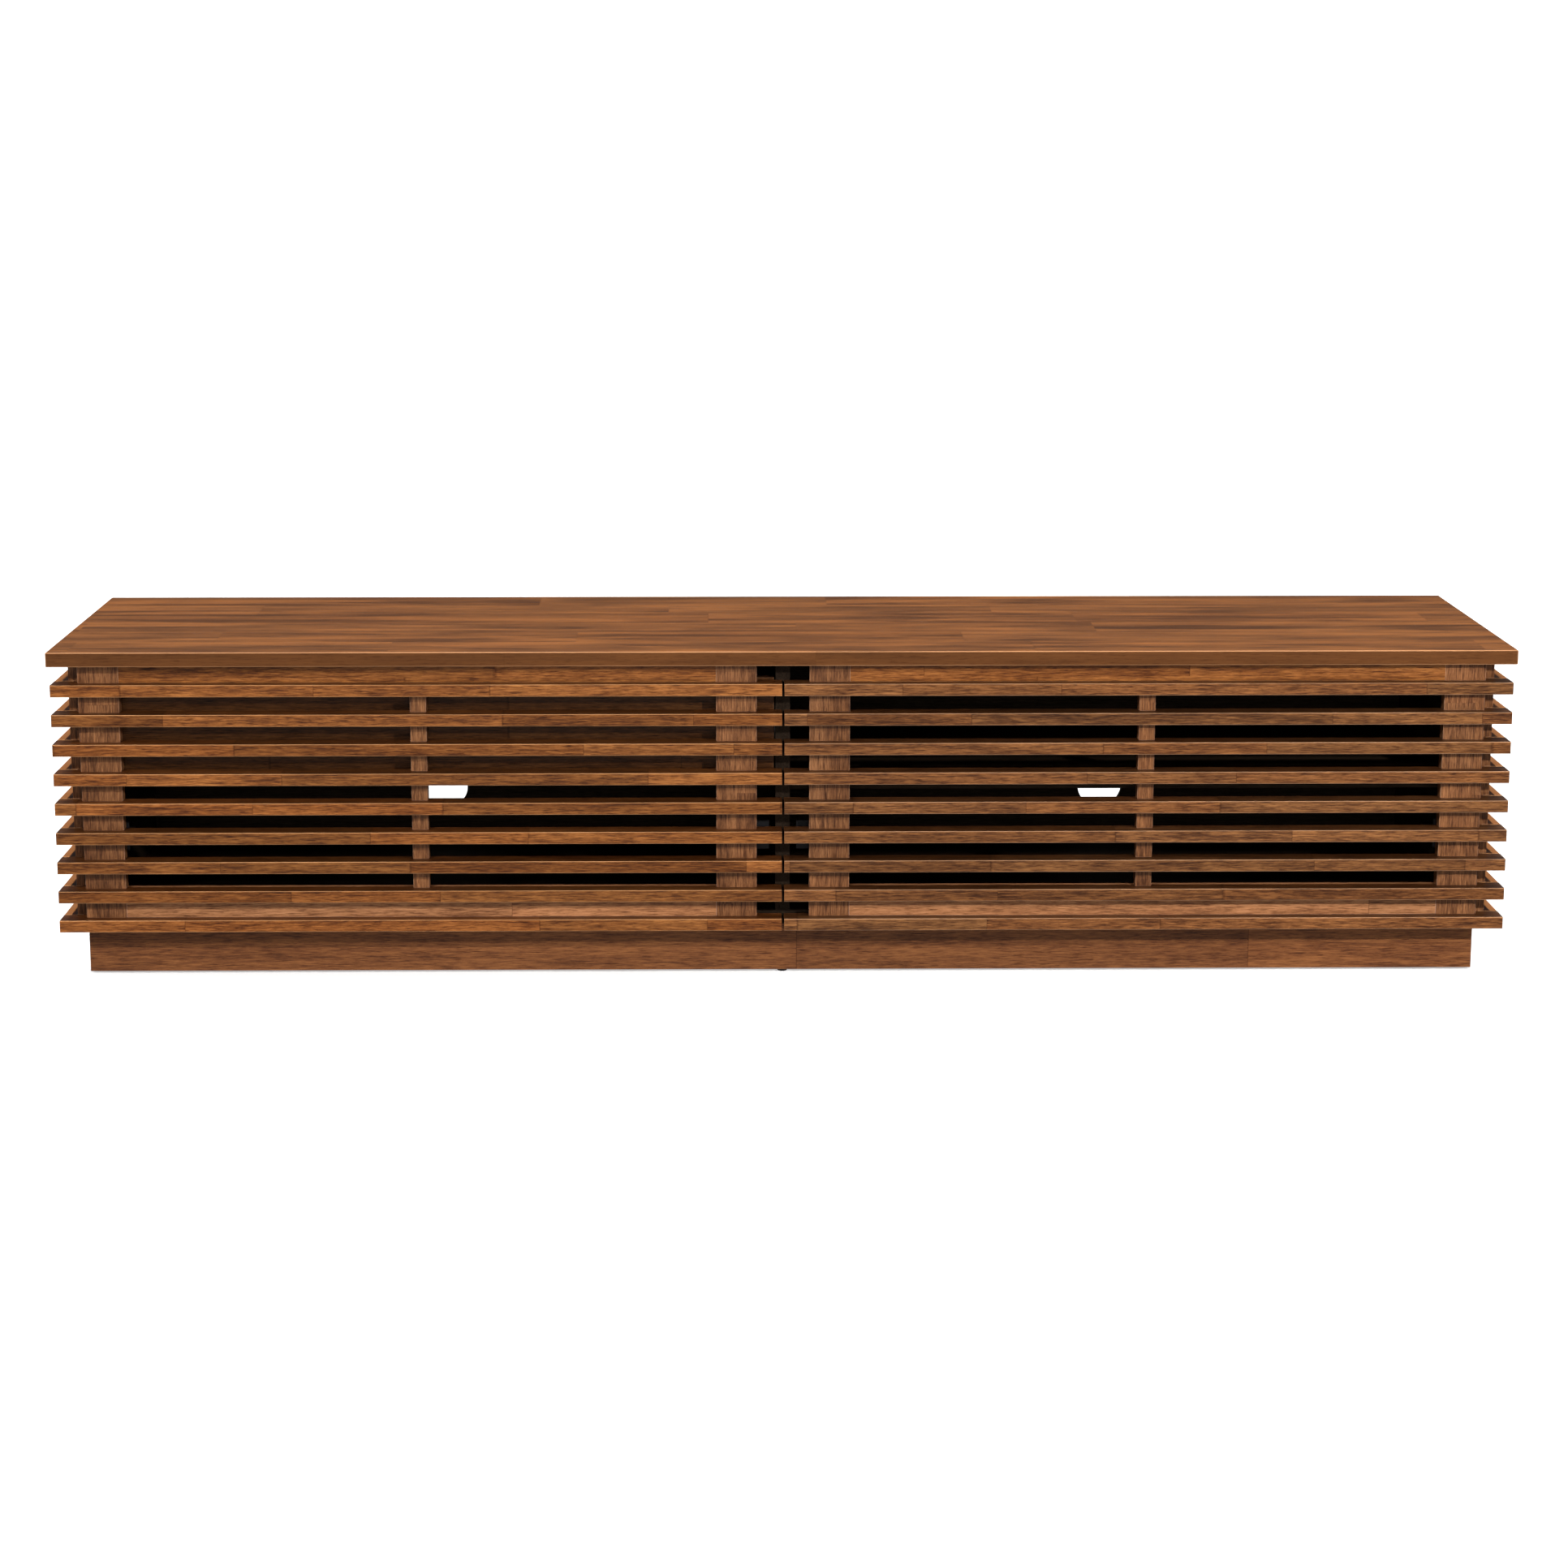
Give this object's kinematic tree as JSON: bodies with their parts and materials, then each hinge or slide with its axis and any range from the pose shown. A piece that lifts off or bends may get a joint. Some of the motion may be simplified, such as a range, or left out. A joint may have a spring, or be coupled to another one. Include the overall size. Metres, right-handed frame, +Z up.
{
  "type": "media cabinet",
  "caption": "Low slatted wooden media cabinet with drop-down louvred flaps, a drawer and a shelf behind them, cable holes and a recessed plinth.",
  "frame": {"origin": "on the floor under the middle of the top", "axes": "+X to the right seen from the front, +Y towards the back, +Z up; the flaps face -Y"},
  "size_m": [1.8, 0.46, 0.415],
  "materials": {
    "walnut_top": "walnut-stained solid wood in edge-glued strips, satin lacquer",
    "walnut_slat": "walnut-stained hardwood with fine dark pores, grain along the slat, satin",
    "walnut_upright": "walnut-stained hardwood, grain upright, satin",
    "walnut_rail": "walnut-stained hardwood, grain along the rail, satin",
    "dark_board": "dark stained veneer board, low sheen",
    "dark_back": "dark stained plywood, matt",
    "pale_plywood": "clear-lacquered birch plywood",
    "zinc_steel": "zinc-plated steel sheet",
    "black_steel": "black powder-coated steel",
    "black_plastic": "moulded black plastic"
  },
  "bodies": {
    "cabinet": {"top_panel": "walnut_top", "bottom_panel": "dark_board", "left_side_panel": "dark_board", "right_side_panel": "dark_board", "centre_partition": "dark_board", "back_panel": "dark_back", "plinth_front": "walnut_rail", "plinth_rear": "walnut_rail", "plinth_ends": "walnut_rail", "floor_glides": "black_plastic", "left_side_slats": "walnut_slat", "right_side_slats": "walnut_slat", "side_battens": "walnut_upright", "hinge_cabinet_leaves": "zinc_steel", "hinge_pins": "zinc_steel", "stay_studs": "black_steel", "magnetic_catches": "black_plastic", "right_shelf": "dark_board", "shelf_pins": "zinc_steel", "slide_cabinet_members": "zinc_steel"},
    "left_flap": {"left_flap_slat_1": "walnut_slat", "left_flap_slat_2": "walnut_slat", "left_flap_slat_3": "walnut_slat", "left_flap_slat_4": "walnut_slat", "left_flap_slat_5": "walnut_slat", "left_flap_slat_6": "walnut_slat", "left_flap_slat_7": "walnut_slat", "left_flap_slat_8": "walnut_slat", "left_flap_slat_9": "walnut_slat", "left_flap_stiles": "walnut_upright", "left_flap_mullion": "walnut_upright", "left_flap_top_rail": "walnut_rail", "left_flap_bottom_rail": "walnut_rail", "left_flap_hinge_leaves": "zinc_steel", "left_flap_stay_brackets": "black_steel", "left_flap_strike_plates": "zinc_steel"},
    "right_flap": {"right_flap_slat_1": "walnut_slat", "right_flap_slat_2": "walnut_slat", "right_flap_slat_3": "walnut_slat", "right_flap_slat_4": "walnut_slat", "right_flap_slat_5": "walnut_slat", "right_flap_slat_6": "walnut_slat", "right_flap_slat_7": "walnut_slat", "right_flap_slat_8": "walnut_slat", "right_flap_slat_9": "walnut_slat", "right_flap_stiles": "walnut_upright", "right_flap_mullion": "walnut_upright", "right_flap_top_rail": "walnut_rail", "right_flap_bottom_rail": "walnut_rail", "right_flap_hinge_leaves": "zinc_steel", "right_flap_stay_brackets": "black_steel", "right_flap_strike_plates": "zinc_steel"},
    "left_stays": {"left_stay_arms": "black_steel"},
    "right_stays": {"right_stay_arms": "black_steel"},
    "drawer": {"drawer_front": "walnut_rail", "drawer_sides": "pale_plywood", "drawer_back": "pale_plywood", "drawer_base": "pale_plywood", "slide_drawer_members": "zinc_steel"},
    "drawer_slides": {"slide_middle_members": "zinc_steel"}
  },
  "joints": [
    {"name": "left_flap_hinge", "type": "hinge", "parent": "cabinet", "child": "left_flap", "pos_m": [-0.449, -0.191, 0.0585], "axis": [1, 0, 0], "range_deg": [0, 90]},
    {"name": "left_stay_pivot", "type": "hinge", "parent": "left_flap", "child": "left_stays", "pos_m": [-0.449, -0.18096, 0.17808], "axis": [1, 0, 0], "range_deg": [-45, 0]},
    {"name": "right_flap_hinge", "type": "hinge", "parent": "cabinet", "child": "right_flap", "pos_m": [0.449, -0.191, 0.0585], "axis": [1, 0, 0], "range_deg": [0, 90]},
    {"name": "right_stay_pivot", "type": "hinge", "parent": "right_flap", "child": "right_stays", "pos_m": [0.449, -0.18096, 0.17808], "axis": [1, 0, 0], "range_deg": [-45, 0]},
    {"name": "drawer_slide", "type": "slide", "parent": "cabinet", "child": "drawer", "axis": [0, -1, 0], "range_m": [0, 0.283]},
    {"name": "drawer_slide_middle", "type": "slide", "parent": "cabinet", "child": "drawer_slides", "axis": [0, -1, 0], "range_m": [0, 0.1415]}
  ],
  "couplings": [
    {"joint": "left_stay_pivot", "follows": "left_flap_hinge", "ratio": -0.5},
    {"joint": "right_stay_pivot", "follows": "right_flap_hinge", "ratio": -0.5},
    {"joint": "drawer_slide", "follows": "left_flap_hinge", "m_per_rad": 0.18},
    {"joint": "drawer_slide_middle", "follows": "left_flap_hinge", "m_per_rad": 0.09}
  ]
}
